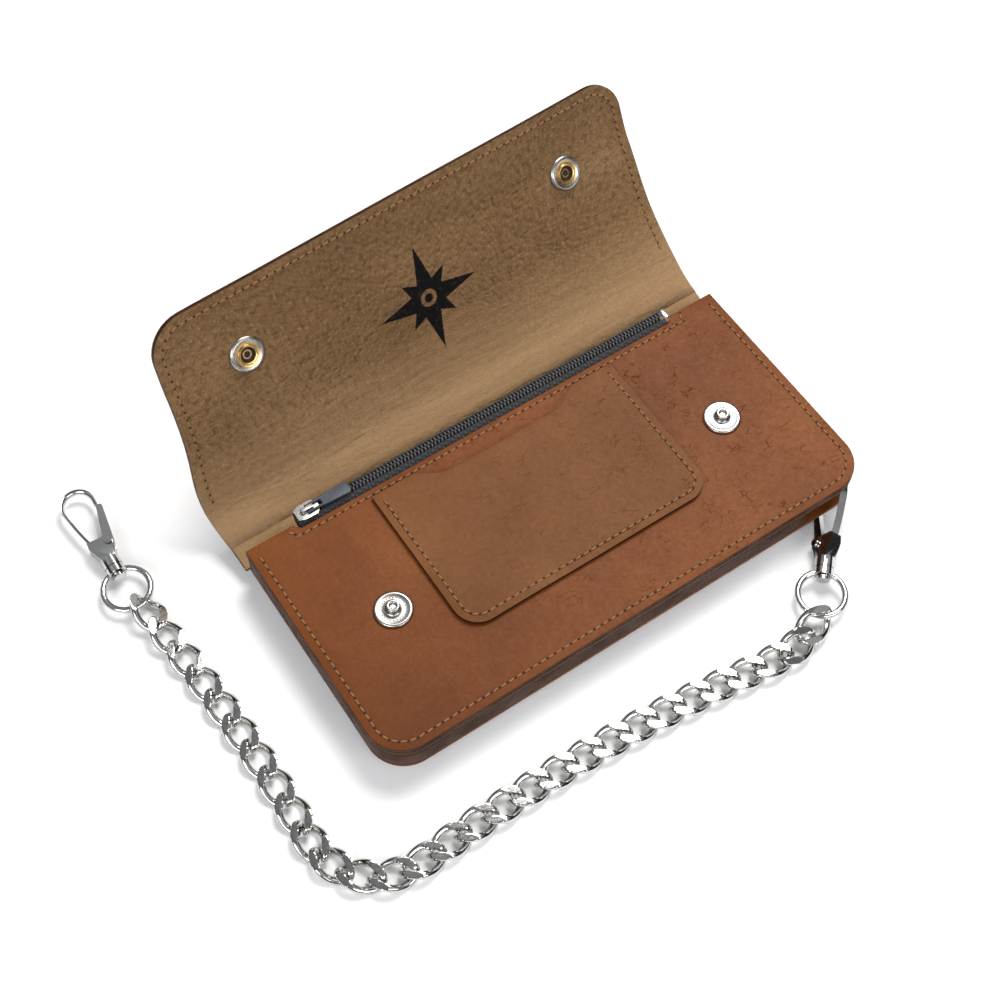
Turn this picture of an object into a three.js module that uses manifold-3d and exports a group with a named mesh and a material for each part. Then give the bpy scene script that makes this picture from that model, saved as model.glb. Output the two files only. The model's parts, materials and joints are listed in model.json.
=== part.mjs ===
// A long leather wallet on a curb chain. The wallet lies on its back with its flap open.
// Millimetres, +Z up. X runs along the wallet's width and Y from its bottom edge to its fold.
// The origin is the centre of the back panel's underside.

import * as THREE from 'three';
import { mergeVertices } from 'three/addons/utils/BufferGeometryUtils.js';
import Module from 'manifold-3d';

const wasm = await Module();
wasm.setup();

// Clearances
const fitGap = 0.3;
const foldGap = 1.1;
const flapGap = 1.5;

// Wallet body
const walletWidth = 190;
const walletHeight = 89;
const cornerRadius = 13;
const leather = 1.6;
const liningLeather = 0.8;
const pocketLeather = 1.3;
const billRoom = 7.5;
const coinRoom = 1.5;
const seamWidth = 7;

// Card pocket on the front
const cardPocketWidth = 97;
const cardPocketHeight = 59.5;
const cardPocketOffsetX = -1.8;
const cardPocketTopInset = 6;
const cardPocketRadius = 9;
const mouthDepth = 5.6;
const mouthShoulder = 13.5;
const mouthSlope = 15;

// Fold and flap
const flapLength = 78;
const flapRadius = 13;
const flapFlare = 1.5;
const spineClosedAngle = 62;
const spineRestAngle = 12;
const flapRestAngle = 55;
const flapClosedRoom = 1.2;

// Snaps
const snapSpacing = 132;
const snapRise = 44.1;
const studFlangeRadius = 6.5;
const studFlangeThickness = 0.6;
const studPostRadius = 2.8;
const studPostHeight = 3.3;
const studBore = 1.2;
const socketRadius = 5.8;
const socketThickness = 1.3;
const capRadius = 6.3;
const capThickness = 1;
const rivetBarrel = 0.9;
const rivetDisc = 4.5;
const rivetDiscThickness = 0.5;

// Zipper
const zipLength = 155;
const zipRecess = 2.4;
const zipTape = 0.5;
const zipTapeWidth = 7;
const teethWidth = 0.9;
const teethHeight = 0.8;
const teethSplit = 0.8;
const teethCentreY = 1.9;
const sliderLength = 8.5;
const sliderWidth = 6;
const sliderEndMargin = 7;
const sliderPlate = 0.6;
const sliderNeck = 0.4;
const bridgeLength = 4.4;
const bridgeWidth = 1.4;
const bridgeHeight = 1.5;
const pullWire = 0.35;
const pullBow = 5.5;
const gripLength = 10.5;
const gripWidth = 4.6;
const gripThickness = 1.4;

// Chain
const wireRadius = 1.3;
const linkHalfLength = 7;
const linkHalfWidth = 4.3;
const linkTwist = 52;
const linkHalfThickness = 2.3;
const slackPitch = 10;
const tautPitch = 10.8;
const chainLow = 4.2;
const ringReach = 3.5;
const endRoll = 26;
const endRise = 1.6;
const endLinks = 3;
const ringNestle = -0.2;
const freeClaspTurn = -9;

const linkCount = 29;
const startLinks = 3;
const cornerLinks = 4;
const chainStartsIn = 60;

// The chain's way over the table, from the wallet's ring to the free end: it bends to the
// wallet's bottom edge, follows it, rounds the corner and runs up beside the wallet. Each run
// has a number of links, the turn from link to link in degrees, and the pitch.
const bottomLinks = Math.round((walletWidth - chainStartsIn) / slackPitch);
const sideLinks = linkCount - startLinks - bottomLinks - cornerLinks;
const chainRuns = [
  { links: startLinks, turn: -18.5, pitch: slackPitch },
  { links: bottomLinks, turn: 1, pitch: slackPitch },
  { links: cornerLinks, turn: -23.8, pitch: slackPitch },
  { links: sideLinks, turn: 1.1, pitch: tautPitch },
];

// Swivel clasps
const claspHeading = 226;
const claspPitch = 3.2;
const claspRoll = 54;
const hookWire = 1.35;
const hookBow = 6.1;
const hookBowHeight = 28.2;
const nosePast = 3;
const collarRadius = 3.2;
const collarHeight = 4;
const bossHeight = 2.6;
const pinRadius = 1.2;
const pinHead = 2.2;
const ringRadius = 7.9;
const ringWire = 1.1;
const gateThickness = 2;
const gatePivotX = -2.8;
const gatePivotY = 9.5;
const gatePivotRadius = 1.8;
const gateTipRadius = 1.1;
const forkThickness = 4.6;
const rivetRadius = 0.7;
const rivetHead = 1.4;
const eyeletInset = 8.6;
const eyeletWall = 0.4;
const eyeletFlange = 1.5;

// The bore lets the bow's wire through at a slant
const eyeletBore = 2 * hookWire + leather;

// The bill welt's cut corner passes clear of the eyelet
const weltClearance = 0.45;
const weltReach = eyeletBore + eyeletFlange + weltClearance;
const weltCornerCut = 2 * eyeletInset + Math.SQRT2 * weltReach;

// Heights of the layers
const backTop = leather;
const liningBottom = backTop + billRoom;
const liningTop = liningBottom + liningLeather;
const frontBottom = liningTop + coinRoom;
const frontTop = frontBottom + leather;
const pocketTop = frontTop + fitGap + pocketLeather;

// Edges of the wallet
const halfWidth = walletWidth / 2;
const topEdge = walletHeight / 2;
const bottomEdge = -walletHeight / 2;
const snapX = snapSpacing / 2;
const snapY = topEdge - snapRise - 0.8;

// The fold: the spine turns on the back panel and the flap turns on the spine. The spine is
// long enough to lift the shut flap clear of the card pocket and the snap studs.
const hingeHeight = leather / 2;
const studBase = frontTop + fitGap;
const socketLow = studBase + studFlangeThickness + fitGap;
const flapShutInner = Math.max(socketLow + socketThickness + fitGap, pocketTop + flapClosedRoom);
const spineRise = flapShutInner + leather / 2 - hingeHeight;
const spineLength = spineRise / Math.sin(THREE.MathUtils.degToRad(spineClosedAngle));
const spineShutReach = spineRise / Math.tan(THREE.MathUtils.degToRad(spineClosedAngle));
const socketReach = topEdge + spineShutReach - snapY;

const finishes = {
  leather: { color: 0x8a4a22, roughness: 0.55, metalness: 0 },
  pocketLeather: { color: 0x85593a, roughness: 0.5, metalness: 0 },
  liningLeather: { color: 0x6a4630, roughness: 0.8, metalness: 0 },
  suede: { color: 0x8f7350, roughness: 0.95, metalness: 0 },
  tape: { color: 0x18181a, roughness: 0.9, metalness: 0 },
  grip: { color: 0x1d1f21, roughness: 0.45, metalness: 0 },
  nickel: { color: 0xc4c2bc, roughness: 0.22, metalness: 1 },
};

function degrees(angle) {
  return THREE.MathUtils.degToRad(angle);
}

function named(name, geometry, finish) {
  const mesh = new THREE.Mesh(geometry, new THREE.MeshStandardMaterial(finish));
  mesh.name = name;
  return mesh;
}

// ---- Joining and cutting closed geometry ----

function solidOf(geometry) {
  const bare = geometry.clone();
  for (const attribute of Object.keys(bare.attributes)) {
    if (attribute !== 'position') {
      bare.deleteAttribute(attribute);
    }
  }
  const merged = mergeVertices(bare, 1e-4);
  const corners = merged.index.array;
  const kept = [];
  for (let i = 0; i < corners.length; i += 3) {
    const [a, b, c] = [corners[i], corners[i + 1], corners[i + 2]];
    if (a !== b && b !== c && c !== a) {
      kept.push(a, b, c);
    }
  }
  return new wasm.Manifold(new wasm.Mesh({
    numProp: 3,
    vertProperties: new Float32Array(merged.attributes.position.array),
    triVerts: new Uint32Array(kept),
  }));
}

function geometryOf(solid) {
  const mesh = solid.getMesh();
  const geometry = new THREE.BufferGeometry();
  geometry.setAttribute('position', new THREE.BufferAttribute(mesh.vertProperties, 3));
  geometry.setIndex(new THREE.BufferAttribute(mesh.triVerts, 1));
  geometry.computeVertexNormals();
  return geometry;
}

function join(first, ...others) {
  return others.reduce((solid, geometry) => solid.add(solidOf(geometry)), solidOf(first));
}

function cut(solid, ...tools) {
  return tools.reduce((left, geometry) => left.subtract(solidOf(geometry)), solid);
}

// ---- Basic shapes ----

// A flat plate of an outline in the XY plane, from height low upwards
function plate(shape, low, thickness, curveSegments = 8) {
  const geometry = new THREE.ExtrudeGeometry(shape, {
    depth: thickness,
    bevelEnabled: false,
    curveSegments,
  });
  return geometry.translate(0, 0, low);
}

// A profile in the YZ plane drawn out along X
function alongX(shape, start, length, curveSegments = 8) {
  const geometry = plate(shape, start, length, curveSegments);
  const turn = new THREE.Matrix4().makeBasis(
    new THREE.Vector3(0, 1, 0),
    new THREE.Vector3(0, 0, 1),
    new THREE.Vector3(1, 0, 0),
  );
  return geometry.applyMatrix4(turn);
}

function roundHole(x, y, radius) {
  const hole = new THREE.Path();
  hole.absarc(x, y, radius, 0, 2 * Math.PI, true);
  return hole;
}

function box(width, depth, height, x, y, z) {
  return new THREE.BoxGeometry(width, depth, height).translate(x, y, z);
}

function cylinderAlongY(radius, low, high, segments = 16) {
  const geometry = new THREE.CylinderGeometry(radius, radius, high - low, segments);
  return geometry.translate(0, (low + high) / 2, 0);
}

function cylinderAlongZ(radius, low, high, x, y, segments = 12) {
  const geometry = cylinderAlongY(radius, low, high, segments).rotateX(Math.PI / 2);
  return geometry.translate(x, y, 0);
}

// A profile of [radius, height] points turned about the Z axis
function turned(points, segments = 16) {
  const profile = points.map(([radius, height]) => new THREE.Vector2(radius, height));
  return new THREE.LatheGeometry(profile, segments).rotateX(Math.PI / 2);
}

function closedPolygon(points) {
  return new THREE.Shape(points.map(([x, y]) => new THREE.Vector2(x, y)));
}

// A band of even thickness whose middle follows a few points
function bandShape(points, thickness) {
  const half = thickness / 2;
  const path = points.map(([x, y]) => new THREE.Vector2(x, y));
  const directions = path.slice(1).map((point, i) => point.clone().sub(path[i]).normalize());
  const sides = path.map((point, i) => {
    const before = directions[Math.max(i - 1, 0)];
    const after = directions[Math.min(i, directions.length - 1)];
    const along = before.clone().add(after).normalize();
    const miter = half / along.dot(after);
    return new THREE.Vector2(-along.y, along.x).multiplyScalar(miter);
  });
  const left = path.map((point, i) => point.clone().add(sides[i]));
  const right = path.map((point, i) => point.clone().sub(sides[i]));
  return new THREE.Shape([...right, ...left.reverse()]);
}

// An outline that starts at its top left corner and rounds its bottom left corner
function leftSide(left, top, bottom, radius) {
  const shape = new THREE.Shape();
  const turn = left + radius;
  shape.moveTo(left, top);
  shape.lineTo(left, bottom + radius);
  shape.absarc(turn, bottom + radius, radius, Math.PI, 1.5 * Math.PI, false);
  return shape;
}

// An outline with square top corners and rounded bottom corners
function pocketShape(left, right, top, bottom, radius) {
  const shape = leftSide(left, top, bottom, radius);
  const turn = right - radius;
  shape.absarc(turn, bottom + radius, radius, 1.5 * Math.PI, 2 * Math.PI, false);
  shape.lineTo(right, top);
  return shape;
}

function panelShape() {
  return pocketShape(-halfWidth, halfWidth, topEdge, bottomEdge, cornerRadius);
}

// ---- Leather ----

function eyeletCentre() {
  return new THREE.Vector3(halfWidth - eyeletInset, bottomEdge + eyeletInset, leather / 2);
}

// The eyelet's lower flange is pressed into the leather, level with the back
function backPanel() {
  const eyelet = eyeletCentre();
  const radius = eyeletBore + eyeletWall + fitGap;
  const recess = eyeletBore + eyeletFlange + fitGap;
  const top = eyeletWall + fitGap;
  const panel = cut(
    solidOf(plate(panelShape(), 0, leather)),
    cylinderAlongZ(radius, -1, leather + 1, eyelet.x, eyelet.y, 16),
    cylinderAlongZ(recess, -1, top, eyelet.x, eyelet.y, 16),
  );
  return named('back_panel', geometryOf(panel), finishes.leather);
}

// The strip that holds the bill room open along both sides and the bottom. It cuts off the
// corner with the eyelet, so that the clasp stays out of the bill room, and it stops short of
// the fold so that the spine can stand up.
function billWelt() {
  const inner = halfWidth - seamWidth;
  const floor = bottomEdge + seamWidth;
  const innerRadius = cornerRadius - seamWidth;
  const turn = -inner + innerRadius;
  const innerCut = weltCornerCut + seamWidth * (Math.SQRT2 - 1);
  const top = topEdge - 2 * fitGap;
  const shape = leftSide(-halfWidth, top, bottomEdge, cornerRadius);
  shape.lineTo(halfWidth - weltCornerCut, bottomEdge);
  shape.lineTo(halfWidth, bottomEdge + weltCornerCut);
  shape.lineTo(halfWidth, top);
  shape.lineTo(inner, top);
  shape.lineTo(inner, bottomEdge + innerCut);
  shape.lineTo(halfWidth - innerCut, floor);
  shape.lineTo(turn, floor);
  shape.absarc(turn, floor + innerRadius, innerRadius, 1.5 * Math.PI, Math.PI, true);
  shape.lineTo(-inner, top);
  const thickness = billRoom - 2 * fitGap;
  return named('bill_welt', plate(shape, backTop + fitGap, thickness), finishes.liningLeather);
}

function pocketLining() {
  const lining = plate(panelShape(), liningBottom, liningLeather);
  return named('pocket_lining', lining, finishes.liningLeather);
}

// The strip between lining and front that closes the coin pocket's sides and bottom
function coinWelt() {
  const inner = halfWidth - seamWidth;
  const floor = bottomEdge + seamWidth;
  const r = cornerRadius - seamWidth;
  const shape = panelShape();
  shape.lineTo(inner, topEdge);
  shape.lineTo(inner, floor + r);
  shape.absarc(inner - r, floor + r, r, 0, -0.5 * Math.PI, true);
  shape.absarc(-inner + r, floor + r, r, 1.5 * Math.PI, Math.PI, true);
  shape.lineTo(-inner, topEdge);
  const thickness = coinRoom - 2 * fitGap;
  return named('coin_welt', plate(shape, liningTop + fitGap, thickness), finishes.liningLeather);
}

// The front panel is cut back along the zipper and pierced for the snap rivets
function frontPanel() {
  const shape = panelShape();
  const half = zipLength / 2;
  shape.lineTo(half, topEdge);
  shape.lineTo(half - zipRecess, topEdge - zipRecess);
  shape.lineTo(-half + zipRecess, topEdge - zipRecess);
  shape.lineTo(-half, topEdge);
  for (const side of [-1, 1]) {
    shape.holes.push(roundHole(side * snapX, snapY, rivetBarrel + fitGap));
  }
  return named('front_panel', plate(shape, frontBottom, leather), finishes.leather);
}

function cardPocket() {
  const left = cardPocketOffsetX - cardPocketWidth / 2;
  const right = cardPocketOffsetX + cardPocketWidth / 2;
  const top = topEdge - cardPocketTopInset;
  const bottom = top - cardPocketHeight;
  const mouth = top - mouthDepth;
  const bend = mouthSlope / 2;
  const shape = pocketShape(left, right, top, bottom, cardPocketRadius);
  shape.lineTo(right - mouthShoulder, top);
  shape.bezierCurveTo(
    right - mouthShoulder - bend, top,
    right - mouthShoulder - bend, mouth,
    right - mouthShoulder - mouthSlope, mouth,
  );
  shape.lineTo(left + mouthShoulder + mouthSlope, mouth);
  shape.bezierCurveTo(
    left + mouthShoulder + bend, mouth,
    left + mouthShoulder + bend, top,
    left + mouthShoulder, top,
  );
  const pocket = plate(shape, frontTop + fitGap, pocketLeather);
  return named('card_pocket', pocket, finishes.pocketLeather);
}

// The spine lies in its own frame: Y runs from the back panel's edge to the flap, and its far
// edge is a round bead on the axis that the flap turns on.
function foldSpine() {
  const half = leather / 2;
  const shape = new THREE.Shape();
  shape.moveTo(foldGap, half);
  shape.lineTo(foldGap, -half);
  shape.lineTo(spineLength, -half);
  shape.absarc(spineLength, 0, half, -Math.PI / 2, Math.PI / 2, false);
  const span = halfWidth + flapFlare;
  return named('fold_spine', alongX(shape, -span, 2 * span), finishes.leather);
}

function flapPanel() {
  const shape = new THREE.Shape();
  const wide = halfWidth + flapFlare;
  const r = flapRadius;
  shape.moveTo(-wide, flapGap);
  shape.lineTo(wide, flapGap);
  shape.lineTo(halfWidth, flapLength - r);
  shape.absarc(halfWidth - r, flapLength - r, r, 0, Math.PI / 2, false);
  shape.absarc(-halfWidth + r, flapLength - r, r, Math.PI / 2, Math.PI, false);
  for (const side of [-1, 1]) {
    shape.holes.push(roundHole(side * snapX, socketReach, studPostRadius + 2 * fitGap));
  }
  return named('flap', plate(shape, -leather / 2, leather), finishes.suede);
}

// ---- Snaps ----

// The cap sits on the flap's outer side with a stub in the leather, and the socket ring sits
// on its inner side. Both are made about the flap's own Z axis.
function snapCap(name) {
  const low = -leather / 2 - fitGap;
  const stub = studPostRadius;
  const stubTop = leather / 2 - flapStudRoom() - fitGap;
  return named(name, turned([
    [0, low - capThickness],
    [capRadius * 0.7, low - capThickness],
    [capRadius, low - capThickness * 0.4],
    [capRadius, low],
    [stub, low],
    [stub, stubTop],
    [0, stubTop],
  ]), finishes.nickel);
}

// How far the stud's post reaches into the shut flap, past the flap's inner face
function flapStudRoom() {
  return studBase + studPostHeight - flapShutInner;
}

function snapSocket(name) {
  const low = leather / 2 + fitGap;
  const bore = studPostRadius + fitGap;
  const high = low + socketThickness;
  return named(name, turned([
    [bore, low],
    [socketRadius, low],
    [socketRadius, low + socketThickness * 0.5],
    [socketRadius - 1, high],
    [bore + 0.6, high],
    [bore, high - 0.5],
    [bore, low],
  ]), finishes.nickel);
}

// The stud stands on the front panel; its rivet comes up through the leather from inside
function snapStud(name) {
  const neck = studPostRadius - 0.35;
  const top = studBase + studPostHeight;
  return named(name, turned([
    [studBore, studBase],
    [studFlangeRadius, studBase],
    [studFlangeRadius, studBase + studFlangeThickness * 0.6],
    [studFlangeRadius - 0.6, studBase + studFlangeThickness],
    [neck, studBase + studFlangeThickness],
    [neck, top - 1.3],
    [studPostRadius, top - 0.8],
    [studPostRadius - 0.3, top],
    [studBore, top],
    [studBore, studBase],
  ]), finishes.nickel);
}

function snapPost(name) {
  const high = frontBottom - fitGap;
  const low = high - rivetDiscThickness;
  const tip = studBase + studPostHeight - 1;
  return named(name, turned([
    [0, low],
    [rivetDisc, low],
    [rivetDisc, high],
    [rivetBarrel, high],
    [rivetBarrel, tip],
    [0, tip],
  ]), finishes.nickel);
}

function chainEyelet() {
  const inner = eyeletBore;
  const outer = eyeletBore + eyeletWall;
  const flange = eyeletBore + eyeletFlange;
  const over = leather + fitGap;
  const eyelet = named('chain_eyelet', turned([
    [inner, 0],
    [flange, 0],
    [flange, eyeletWall],
    [outer, eyeletWall],
    [outer, over],
    [flange, over],
    [flange, over + eyeletWall],
    [inner, over + eyeletWall],
    [inner, 0],
  ]), finishes.nickel);
  const centre = eyeletCentre();
  eyelet.position.set(centre.x, centre.y, 0);
  return eyelet;
}

// ---- Zipper ----

// Where the two rows of teeth meet
const zipY = topEdge + teethCentreY;
const zipZ = frontTop - teethHeight / 2;
const rowInner = teethSplit / 2;
const rowOuter = rowInner + teethWidth;
const tapeEdge = rowOuter + zipTape;

function zipperTapes() {
  const half = zipLength / 2 - zipRecess;
  const under = frontBottom - fitGap - zipTape / 2;
  const bend = topEdge - zipRecess + zipTape / 2;
  const front = bandShape([
    [bend - zipTapeWidth, under],
    [bend, under],
    [zipY - tapeEdge, zipZ],
  ], zipTape);
  const below = liningBottom - zipTape;
  const rear = bandShape([
    [zipY + tapeEdge, zipZ],
    [topEdge + 2.9, liningBottom + 0.5],
    [topEdge + 0.9, below],
    [topEdge - zipTapeWidth, below],
  ], zipTape);
  return [
    named('zipper_tape_front', alongX(front, -half, 2 * half), finishes.tape),
    named('zipper_tape_rear', alongX(rear, -half, 2 * half), finishes.tape),
  ];
}

function zipperTeeth() {
  const half = zipLength / 2 - zipRecess;
  return [['front', -1], ['rear', 1]].map(([place, side]) => {
    const middle = zipY + side * (rowInner + teethWidth / 2);
    const row = box(2 * half, teethWidth, teethHeight, 0, middle, zipZ);
    return named(`zipper_teeth_${place}`, row, finishes.tape);
  });
}

// The slider in its own frame, with its origin between the teeth: two plates joined by a neck
// that runs between the rows, and a bridge on top for the pull.
function sliderBody() {
  const top = teethHeight / 2 + fitGap;
  const bottom = -teethHeight / 2 - fitGap - zipTape / 2;
  const crown = top + sliderPlate;
  const upper = new THREE.Shape();
  const l = sliderLength / 2;
  const w = sliderWidth / 2;
  upper.moveTo(-l, -w * 0.7);
  upper.lineTo(-l * 0.5, -w);
  upper.lineTo(l * 0.6, -w);
  upper.lineTo(l, -w * 0.45);
  upper.lineTo(l, w * 0.45);
  upper.lineTo(l * 0.6, w);
  upper.lineTo(-l * 0.5, w);
  upper.lineTo(-l, w * 0.7);
  const body = join(
    plate(upper, top, sliderPlate),
    box(sliderLength, 2 * rowInner + teethWidth, sliderPlate, 0, 0, bottom - sliderPlate / 2),
    box(sliderLength - 2, sliderNeck, top - bottom + sliderPlate, 0, 0, (top + bottom) / 2),
    box(bridgeLength, bridgeWidth, bridgeHeight, 0, 0, crown + bridgeHeight / 2),
  );
  const eye = pullWire + fitGap / 2;
  const opening = box(2 * eye, 2 * bridgeWidth, 2 * eye, 0, 0, pullAxisHeight());
  return named('zipper_slider', geometryOf(cut(body, opening)), finishes.nickel);
}

// The wire's eye sits on the slider's upper plate
function pullAxisHeight() {
  return teethHeight / 2 + fitGap + sliderPlate + pullWire + 2 * fitGap / 3;
}

// The pull in its own frame, with its origin on the wire's crossbar: a bent wire bow that ends
// in a moulded grip.
function pullBody() {
  const arm = bridgeWidth / 2 + pullWire + fitGap;
  const reach = pullBow + 1;
  const sides = [-1, 1].map((side) => {
    const length = reach + pullWire;
    return box(length, 2 * pullWire, 2 * pullWire, length / 2 - pullWire, side * arm, 0);
  });
  const crossbar = cylinderAlongY(pullWire, -arm, arm, 8);
  const grip = new THREE.Shape();
  const w = gripWidth / 2;
  const far = pullBow + gripLength;
  const r = 0.7;
  grip.moveTo(pullBow, -w * 0.8);
  grip.lineTo(far - r, -w);
  grip.lineTo(far, -w + r);
  grip.lineTo(far, w - r);
  grip.lineTo(far - r, w);
  grip.lineTo(pullBow, w * 0.8);
  const drop = pullWire - gripThickness;
  const pull = join(crossbar, sides[0], sides[1], plate(grip, drop, gripThickness));
  return named('zipper_pull', geometryOf(pull), finishes.grip);
}

function zipper() {
  const slider = new THREE.Group();
  slider.position.set(-zipLength / 2 + sliderEndMargin, zipY, zipZ);
  slider.add(sliderBody());
  const pull = pullBody();
  pull.position.z = pullAxisHeight();
  slider.add(pull);
  return [...zipperTapes(), ...zipperTeeth(), slider];
}

// ---- Swivel clasps ----

// A clasp in its own frame: Y runs from the swivel to the top of the hook's bow, the rod is on
// the +X side, and the gate closes the -X side.
function hookPath() {
  const points = [];
  const start = new THREE.Vector3(2.6, 8, 0);
  const shoulder = new THREE.Vector3(hookBow, hookBowHeight, 0);
  for (let i = 0; i < 4; i += 1) {
    const at = start.clone().lerp(shoulder, i / 4);
    at.x += 0.5 * Math.sin((i / 4) * Math.PI);
    points.push(at);
  }
  const arcSteps = 8;
  for (let i = 0; i <= arcSteps; i += 1) {
    const angle = (i / arcSteps) * Math.PI;
    points.push(new THREE.Vector3(
      hookBow * Math.cos(angle),
      hookBowHeight + hookBow * Math.sin(angle),
      0,
    ));
  }
  points.push(new THREE.Vector3(-hookBow + 0.1, hookBowHeight - nosePast, 0));
  return new THREE.CatmullRomCurve3(points);
}

function roundSection(radius, sides) {
  const section = new THREE.Shape();
  section.absarc(0, 0, radius, 0, 2 * Math.PI, false);
  return new THREE.Shape(section.getPoints(sides).slice(0, sides));
}

function rodAlong(path, radius, steps, sides) {
  return new THREE.ExtrudeGeometry(roundSection(radius, sides), {
    steps,
    extrudePath: path,
    bevelEnabled: false,
  });
}

function hook(name) {
  const fork = closedPolygon([
    [-2.4, collarHeight - 0.4],
    [2.4, collarHeight - 0.4],
    [4.3, 9.5],
    [4, 12.2],
    [-3.6, 11.6],
    [-4.5, 9.8],
    [-4.4, 8.2],
  ]);
  const half = forkThickness / 2;
  const pinLow = -bossHeight - fitGap;
  const body = join(
    cylinderAlongY(collarRadius, fitGap, collarHeight),
    cylinderAlongY(pinRadius, pinLow - 0.5, fitGap + 0.5, 12),
    cylinderAlongY(pinHead, pinLow - 1.3, pinLow, 12),
    plate(fork, -half, forkThickness),
    rodAlong(hookPath(), hookWire, 24, 8),
  );
  const slot = box(6, 8, gateThickness + 2 * fitGap, -3.4, 10.3, 0);
  const bore = cylinderAlongZ(rivetRadius + fitGap, -half - 1, half + 1, gatePivotX, gatePivotY);
  return named(name, geometryOf(cut(body, slot, bore)), finishes.nickel);
}

// The gate lies between its pivot and the hook's nose, in the pivot's own frame
function gate(name) {
  const tip = new THREE.Vector2(-hookBow + 0.1 - gatePivotX, gateTipY() - gatePivotY);
  const along = tip.angle();
  const shape = new THREE.Shape();
  shape.absarc(0, 0, gatePivotRadius, along + Math.PI / 2, along + 1.5 * Math.PI, false);
  shape.absarc(tip.x, tip.y, gateTipRadius, along - Math.PI / 2, along + Math.PI / 2, false);
  shape.holes.push(roundHole(0, 0, rivetRadius + fitGap));
  const mesh = named(name, plate(shape, -gateThickness / 2, gateThickness, 8), finishes.nickel);
  mesh.position.set(gatePivotX, gatePivotY, 0);
  return mesh;
}

function gateTipY() {
  return hookBowHeight - nosePast - gateTipRadius - fitGap;
}

function gateRivet(name) {
  const half = forkThickness / 2 + fitGap;
  const end = half + 0.5;
  const mesh = named(name, turned([
    [0, -end],
    [rivetHead, -end],
    [rivetHead, -half],
    [rivetRadius, -half],
    [rivetRadius, half],
    [rivetHead, half],
    [rivetHead, end],
    [0, end],
  ], 12), finishes.nickel);
  mesh.position.set(gatePivotX, gatePivotY, 0);
  return mesh;
}

function swivelRing(name) {
  const centre = -bossHeight / 2 - ringRadius;
  const torus = new THREE.TorusGeometry(ringRadius, ringWire, 8, 24).translate(0, centre, 0);
  const body = join(torus, cylinderAlongY(collarRadius, -bossHeight, 0));
  const bore = cylinderAlongY(pinRadius + fitGap, -bossHeight - 1, 1, 12);
  return named(name, geometryOf(cut(body, bore)), finishes.nickel);
}

// A clasp group holds the hook with its gate and rivet, rolled about the swivel, and the ring.
function clasp(side, hookRoll) {
  const group = new THREE.Group();
  const rolled = new THREE.Group();
  rolled.rotation.y = degrees(hookRoll);
  rolled.add(hook(`clasp_${side}_hook`));
  rolled.add(gate(`clasp_${side}_gate`));
  rolled.add(gateRivet(`clasp_${side}_rivet`));
  group.add(rolled, swivelRing(`clasp_${side}_ring`));
  return group;
}

// The point of the bow that goes through the eyelet, left of the bow's top in the hook's frame
const bowCross = -2.4;

// The clasp on the wallet: its bow passes through the eyelet, with the rod over the back panel
// and the nose under it.
function walletClasp() {
  const group = clasp('a', -claspRoll);
  const heading = degrees(claspHeading - 270);
  group.rotation.set(degrees(claspPitch), 0, heading, 'ZXY');
  const rise = Math.sqrt(hookBow * hookBow - bowCross * bowCross);
  const crossing = new THREE.Vector3(bowCross, hookBowHeight + rise, 0);
  crossing.applyAxisAngle(new THREE.Vector3(0, 1, 0), degrees(-claspRoll));
  crossing.applyEuler(group.rotation);
  group.position.copy(eyeletCentre().sub(crossing));
  return group;
}

// ---- Chain ----

// One curb link, lying along X: an oval of round wire twisted about its length, with its two
// broad sides filed flat.
function linkGeometry() {
  const aroundSteps = 22;
  const sides = 6;
  const twist = degrees(linkTwist);
  const centreAt = (t) => {
    const turn = twist * Math.cos(t);
    const across = linkHalfWidth * Math.sin(t);
    return new THREE.Vector3(
      linkHalfLength * Math.cos(t),
      across * Math.cos(turn),
      across * Math.sin(turn),
    );
  };
  const positions = [];
  const indices = [];
  for (let i = 0; i < aroundSteps; i += 1) {
    const t = (i / aroundSteps) * 2 * Math.PI;
    const centre = centreAt(t);
    const ahead = centreAt(t + 0.01).sub(centreAt(t - 0.01)).normalize();
    const out = new THREE.Vector3(Math.cos(t), Math.sin(t), 0);
    const side = out.sub(ahead.clone().multiplyScalar(out.dot(ahead))).normalize();
    const up = new THREE.Vector3().crossVectors(ahead, side);
    for (let j = 0; j < sides; j += 1) {
      const angle = ((j + 0.5) / sides) * 2 * Math.PI;
      const point = centre.clone();
      point.addScaledVector(side, wireRadius * Math.cos(angle));
      point.addScaledVector(up, wireRadius * Math.sin(angle));
      point.z = THREE.MathUtils.clamp(point.z, -linkHalfThickness, linkHalfThickness);
      positions.push(point.x, point.y, point.z);
      const next = (j + 1) % sides;
      const a = i * sides + j;
      const b = i * sides + next;
      const c = ((i + 1) % aroundSteps) * sides + j;
      const d = ((i + 1) % aroundSteps) * sides + next;
      indices.push(a, b, c, b, d, c);
    }
  }
  const geometry = new THREE.BufferGeometry();
  geometry.setAttribute('position', new THREE.Float32BufferAttribute(positions, 3));
  geometry.setIndex(indices);
  geometry.computeVertexNormals();
  return geometry;
}

const chainZ = -chainLow + linkHalfThickness;

// How much of a ring's tilt and height is left a few joints along the chain, from 1 at the
// ring to 0
function ringShare(joints) {
  return Math.max(0, 1 - joints / endLinks);
}

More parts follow.
